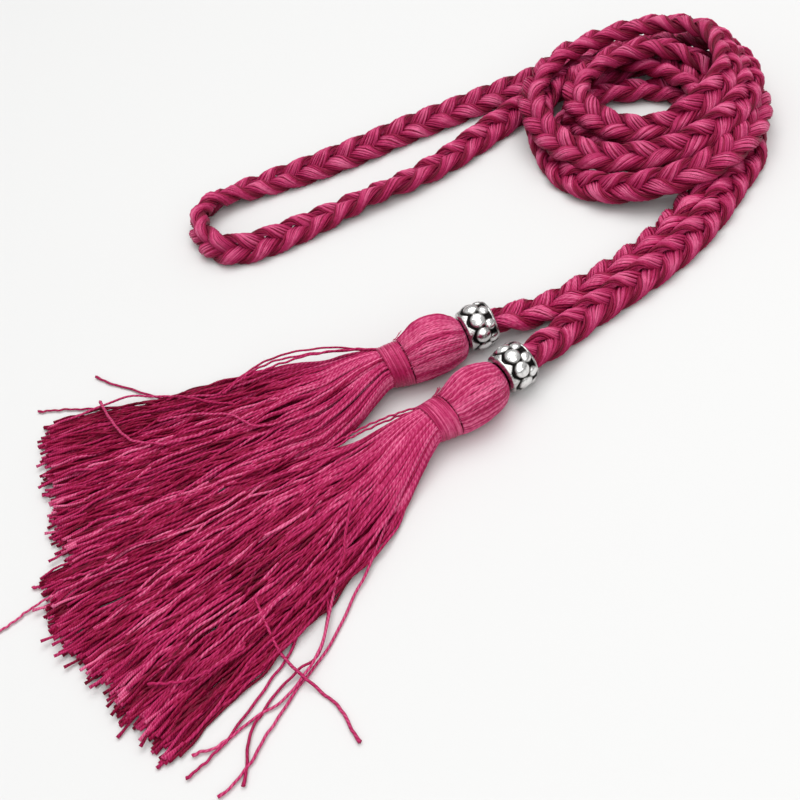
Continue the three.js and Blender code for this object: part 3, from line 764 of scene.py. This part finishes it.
# x, y and height of each stray's points, from the fan to its free end
STRAYS = {
    "a": [
        [(2.1, 9.2, 11), (-3.3, 12.2, 11), (-10.8, 15.8, 10.6), (-19.6, 18.8, 10), (-28.8, 20.5, 9),
         (-36.2, 21.4, 7.6), (-42.4, 22.4, 6)],
        [(2.6, 13.1, 9), (-3.5, 13.6, 9.6), (-14.5, 20, 9.4), (-26.3, 24, 8.8), (-35.8, 25.6, 7),
         (-43.4, 23.8, 5.6), (-51.4, 21.1, 4)],
        [(2.6, 12.6, 9), (-3.5, 13.6, 9.6), (-17.6, 19.4, 9.2), (-31, 23.7, 7.8), (-40.7, 23.9, 6),
         (-49.4, 20.6, 4.4)],
        [(-45.4, 13.6, 5), (-53.3, 17.6, 5.6), (-62.1, 24.8, 5), (-67.6, 29, 2),
         (-77.1, 38.8, 0.65), (-85.6, 46.5, 0.65), (-89.4, 51.1, 0.65)],
        [(-43.4, 17.6, 5), (-61.5, 23, 3.4), (-75.7, 29.6, 1.5), (-90.1, 36.1, 0.65),
         (-98.1, 39.5, 0.65), (-104, 41.6, 0.65), (-108.5, 43, 0.65)],
        [(-45.4, 6.6, 5.4), (-54.7, 5.4, 5.8), (-66.5, 5.5, 6), (-77.3, 11.4, 6),
         (-82.9, 21.7, 5.2), (-87.2, 34.5, 4)],
        [(-69.4, 16.6, 5.4), (-59.6, 13.8, 6.6), (-47.8, 7.9, 7.2), (-41.8, 0.6, 7.4),
         (-35.5, -1.3, 7.2), (-27.4, 0.6, 6.6)],
    ],
    "b": [
        [(5.8, -13.5, 8.5), (0.4, -13, 8), (-3.9, -12.5, 7.4), (-8.4, -12, 6.4),
         (-12.9, -11.8, 5.4), (-17.6, -12, 4.4), (-21.6, -12.9, 3.8), (-28.4, -14.7, 3.4)],
        [(5.6, -14.1, 8), (-0.7, -13.5, 7.4), (-6, -13, 6.4), (-11.4, -12.9, 5.4),
         (-16.3, -13.2, 4.6), (-20.9, -14.2, 4), (-26, -14.7, 3.6)],
        [(-81.4, -31.4, 4), (-100.8, -33.2, 2.4), (-110, -34.6, 0.9), (-114.3, -36.7, 0.65),
         (-118.4, -38.4, 0.65), (-120.1, -38.7, 0.65)],
        [(-81.4, -30.4, 4), (-95.2, -30.2, 3), (-104.8, -28.1, 1.2), (-109.6, -27.4, 0.65)],
        [(-7.4, -36.4, 4), (-18.9, -54.4, 2), (-24.4, -61.3, 1), (-30.4, -69.8, 0.65),
         (-36.9, -77.8, 0.65), (-42.7, -82.6, 0.65), (-48.5, -89.1, 0.65), (-51.9, -92.5, 0.8),
         (-54.8, -96.3, 0.8), (-57.6, -99.5, 0.8), (-61, -102.4, 0.8), (-65.3, -104.9, 0.8)],
        [(-21.4, -42.4, 4), (-30.9, -59.5, 2), (-33, -67.8, 1.6), (-37, -76.8, 1.8),
         (-42.5, -79.4, 1.6), (-47.5, -82, 0.65), (-52.6, -86.9, 0.65), (-55.3, -90.3, 0.8),
         (-57, -94.2, 0.8), (-57.8, -99.1, 0.8), (-59.3, -104.2, 0.8)],
        [(-23.4, -46.4, 4), (-30.9, -62.7, 2), (-35.5, -74.8, 2.4), (-40.5, -80.7, 2),
         (-46.7, -85.2, 0.9), (-54.4, -87.7, 0.65), (-61.3, -90.9, 0.65), (-64.7, -92.3, 0.8),
         (-68.3, -92.2, 0.8), (-70.2, -92.5, 0.8)],
        [(-29.4, -50.4, 4), (-37.7, -63.2, 2), (-43, -72.2, 0.8), (-48.2, -77.8, 0.65),
         (-54.8, -84.4, 0.65), (-61.7, -91.3, 0.8), (-65.6, -94.1, 0.8), (-69.1, -96.3, 0.8),
         (-72.1, -97.6, 0.8)],
        [(-49.4, -56.4, 4), (-47.6, -65.8, 3), (-45.6, -73.6, 1.6), (-41.9, -80.9, 2.6),
         (-37.9, -86.6, 0.65), (-35.2, -90.8, 0.8), (-33.7, -94.6, 0.8), (-32.8, -98.7, 0.8),
         (-31.6, -102.2, 0.8)],
        [(-39.4, -66.4, 8), (-26.3, -58.6, 9), (-23.3, -50.4, 9.6), (-19.5, -40, 9.8)],
        [(-53.4, -70.4, 5), (-61.4, -73.9, 5.4), (-69, -74.9, 5.2), (-78.2, -72.2, 4.6)],
    ],
}
print("stray threads", {letter: len(rows) for letter, rows in STRAYS.items()})


def stray_paths(letter):
    """Smooth, slightly kinked paths through each stray's points, all with the same steps."""
    paths = [spline(points, np.linspace(0, len(points) - 1, STRAY_STEPS))
             for points in STRAYS[letter]]
    paths = np.array(paths) - [*CENTRE, 0]
    way = np.linspace(0, 100, STRAY_STEPS)[None]
    paths[..., 1] += wander(len(paths), way, (9, 16), 0.25)
    paths[..., 2] = np.maximum(paths[..., 2], STRAY_RADIUS * CUT_SPREAD + TABLE_GAP)
    return paths


def fringe(letter, tassel):
    """Fringe piece: the fan's threads and its strays in one mesh."""
    paths, tone = fringe_paths(tassel)
    strays = stray_paths(letter)
    stray_tone = rng.uniform(0.45, 0.7, (len(strays), 1))
    shapes, tones = [], []
    for lines, tint, radius in (
            (paths, tone, FRINGE_RADIUS), (strays, stray_tone, STRAY_RADIUS)):
        step = np.linalg.norm(np.diff(lines, axis=1, prepend=lines[:, :1]), axis=2)
        shapes.append(tubes(lines, cut_ends(np.cumsum(step, axis=1), radius), FRINGE_SIDES))
        tones.append(np.repeat(np.broadcast_to(tint, lines.shape[:2]).ravel(), FRINGE_SIDES))
    shape, tone = join(shapes), np.concatenate(tones)
    piece = new_piece(f"tassel_{letter}", shape, tone, tassel_silk)
    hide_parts(f"fringe_{letter}")


for letter, tassel in TASSELS.items():
    fringe(letter, tassel)

# %% [markdown]
# ## Beads
# The beads are cast silver with a wide hole: a row of big domes and a row of small ones stand
# between two rims, the near one with a scalloped edge, and the low places are blackened to bring
# the relief out. A turned ring gives the body, and a height worked out on a fine grid of angle
# and distance adds the relief. The same height, saved as an attribute, tells the shader where to
# darken: black tarnish in the low places, and painted shade that reaches up the lower flanks of
# the domes.

# %% Silver material


def silver_material():
    """Antique silver: bright metal on the high relief, dark where the tone attribute is near 1,
    which is black tarnish in the hollows and painted shade up the domes' flanks.
    """
    material = bpy.data.materials.new("antique_silver")
    material.use_nodes = True
    tree = material.node_tree
    shader = tree.nodes["Principled BSDF"]
    tarnish_and_shade = add_node(tree, "Attribute", {"attribute_name": "tone"}).outputs["Fac"]
    place = add_node(tree, "TexCoord").outputs["Object"]
    stain = add_node(tree, "TexNoise", Vector=place, Scale=900.0, Detail=4.0, Roughness=0.65)
    lowered = math(tree, "SUBTRACT", tarnish_and_shade, 0.33)
    dark = math(tree, "MULTIPLY_ADD", stain.outputs["Fac"], 0.7, lowered)
    silver = ramp(tree, dark, [
        (0.0, (0.82, 0.81, 0.80)), (0.25, (0.46, 0.45, 0.44)), (0.5, (0.09, 0.086, 0.08)),
        (0.8, (0.010, 0.009, 0.009)),
    ])
    tree.links.new(silver, shader.inputs["Base Color"])
    shader.inputs["Metallic"].default_value = 1.0
    tree.links.new(math(tree, "MULTIPLY_ADD", dark, 0.3, 0.12), shader.inputs["Roughness"])
    pits = add_node(tree, "Bump", Strength=0.5, Distance=0.25 * MM, Height=stain.outputs["Fac"])
    tree.links.new(pits.outputs["Normal"], shader.inputs["Normal"])
    return material


antique_silver = silver_material()
print("metal:", antique_silver.name)

# %% Beads
BEAD = {"outer": 6.0, "bore": 3.7, "length": 9.4, "domes": 8}
DOME_RADIUS, DOME_HEIGHT, DOME_ROW = 2.45, 1.0, -0.45
SEED_RADIUS, SEED_HEIGHT, SEED_ROW = 1.75, 0.85, 2.5
RIM_WIDTH, RIM_HEIGHT, RIM_END, RIM_SLOPE = 1.3, 0.5, 5.3, 0.5
POINT_HEIGHT, POINT_WIDTH = 1.5, 1.7
BEAD_AROUND, BEAD_ROWS, BORE_ROWS = 216, 55, 8
LIP, BORE_FLARE = 0.45, 0.35
# the relief is darkened below the first height: tarnish in the hollows, painted shade up the domes'
# flanks; the second is the bore's tone
TARNISH_AND_SHADE_HEIGHT, BORE_TONE = 0.62, 0.55


def bead_relief(distance, angle, spin):
    """Height of the relief over the turned ring.

    A dome is a cap, height times (1 - (r / R)^2)^0.6. One row of big domes and, half a step
    round, one row of small ones stand between two rims; the near rim runs out in a point
    between every two domes."""
    pitch = 2 * np.pi / BEAD["domes"]
    around = ((angle - spin + pitch / 2) % pitch - pitch / 2) * BEAD["outer"]
    between = ((angle - spin) % pitch - pitch / 2) * BEAD["outer"]

    def caps(row, sideways, radius, height):
        r = np.hypot(distance - row, sideways) / radius
        return height * np.maximum(0, 1 - r**2) ** 0.6

    domes = caps(DOME_ROW, around, DOME_RADIUS, DOME_HEIGHT)
    seeds = caps(SEED_ROW, between, SEED_RADIUS, SEED_HEIGHT)
    points = POINT_HEIGHT * np.maximum(0, 1 - abs(between) / POINT_WIDTH)
    half = BEAD["length"] / 2
    near_rim = smooth((RIM_WIDTH + points - (distance + half)) / RIM_SLOPE)
    far_rim = smooth((RIM_WIDTH - (half - distance)) / RIM_SLOPE)
    rims = RIM_HEIGHT * np.maximum(near_rim, far_rim)
    return np.maximum.reduce(np.broadcast_arrays(domes, seeds, rims))


def bead(letter, tassel):
    """Bead piece: closed profile from the bore's edge over the barrel and back, round the axis."""
    half = BEAD["length"] / 2
    outer = np.linspace(-half, half, BEAD_ROWS)
    bulge = np.cos(outer / half * 1.25) ** 0.8
    barrel = RIM_END - RIM_HEIGHT + (BEAD["outer"] - RIM_END + RIM_HEIGHT) * bulge
    edge = np.clip((half - abs(outer)) / LIP, 0, 1)
    inner = np.linspace(half, -half, BORE_ROWS)
    distance = np.concatenate([outer, inner])[:, None]
    angle = 2 * np.pi * np.arange(BEAD_AROUND) / BEAD_AROUND
    relief = bead_relief(outer[:, None], angle, tassel["spin"])
    skin = (barrel * (0.93 + 0.07 * np.sqrt(edge)))[:, None] + relief * smooth(edge)[:, None]
    bore = BEAD["bore"] + BORE_FLARE * abs(inner / half)[:, None] ** 6
    bore = np.broadcast_to(bore, (BORE_ROWS, BEAD_AROUND))
    radius = np.vstack([skin, bore])
    points = turned(tassel, -distance, radius, angle)
    grid = np.arange(radius.size).reshape(radius.shape)
    ahead, turn = np.roll(grid, -1, axis=0), np.roll(grid, -1, axis=1)
    quads = np.stack([grid, ahead, np.roll(ahead, -1, axis=1), turn], -1).reshape(-1, 4)
    # dark below this height: black tarnish in the hollows and painted shade on the domes' lower
    # flanks
    tarnish_and_shade = 1 - np.clip(relief / TARNISH_AND_SHADE_HEIGHT, 0, 1)
    tone = np.vstack([tarnish_and_shade, np.full((BORE_ROWS, BEAD_AROUND), BORE_TONE)])
    shape = (points.reshape(-1, 3), [quads], np.zeros((quads.size, 2)))
    piece = new_piece(f"silver_bead_{letter}", shape, tone, antique_silver)
    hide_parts(f"bead_{letter}")


for letter, tassel in TASSELS.items():
    bead(letter, tassel)

# %% [markdown]
# ## Table and light
# The belt lies on a plain white sheet under large soft lights, so its shadows are pale and
# wide. One panel almost overhead, a little behind and to the right, gives the direction. A weaker
# one from the front and the white surroundings fill the rest.

# %% Table


def table():
    """Flat square well below the camera, just under the belt."""
    mesh = bpy.data.meshes.new("table")
    size = 3.0
    corners = [(-size, -size, 0), (size, -size, 0), (size, size, 0), (-size, size, 0)]
    mesh.from_pydata(corners, [], [(0, 1, 2, 3)])
    material = bpy.data.materials.new("table_white")
    material.use_nodes = True
    shader = material.node_tree.nodes["Principled BSDF"]
    shader.inputs["Base Color"].default_value = (0.68, 0.68, 0.675, 1)
    shader.inputs["Roughness"].default_value = 0.9
    mesh.materials.append(material)
    top = bpy.data.objects.new("table", mesh)
    bpy.context.scene.collection.objects.link(top)
    print(f"table of {2 * size:.0f} m")


table()

# %% Light


def panel(name, place, size, power):
    """Square soft light at a place, aimed at the belt's middle."""
    data = bpy.data.lights.new(name, "AREA")
    data.shape, data.size, data.energy = "SQUARE", size, power
    lamp = bpy.data.objects.new(name, data)
    lamp.location = place
    lamp.rotation_mode = "QUATERNION"
    lamp.rotation_quaternion = (-Vector(place)).to_track_quat("-Z", "Y")
    bpy.context.scene.collection.objects.link(lamp)
    print(f"{name} light of {power} W")


panel("key", (0.15, 0.3, 1.3), 1.3, 13.0)
panel("fill", (0.2, -0.9, 0.9), 1.2, 6.5)


def sky(low, high):
    """White surroundings whose strength rises from the horizon to straight above."""
    world = bpy.data.worlds.new("surroundings")
    world.use_nodes = True
    tree = world.node_tree
    place = add_node(tree, "TexCoord").outputs["Generated"]
    height = add_node(tree, "SeparateXYZ", Vector=place).outputs["Z"]
    height = math(tree, "MAXIMUM", height, 0.0)
    strength = math(tree, "MULTIPLY_ADD", height, high - low, low)
    tree.links.new(strength, tree.nodes["Background"].inputs["Strength"])
    tree.nodes["Background"].inputs["Color"].default_value = (1, 1, 1, 1)
    bpy.context.scene.world = world


sky(0.32, 0.8)
bpy.context.scene.view_settings.view_transform = "Standard"
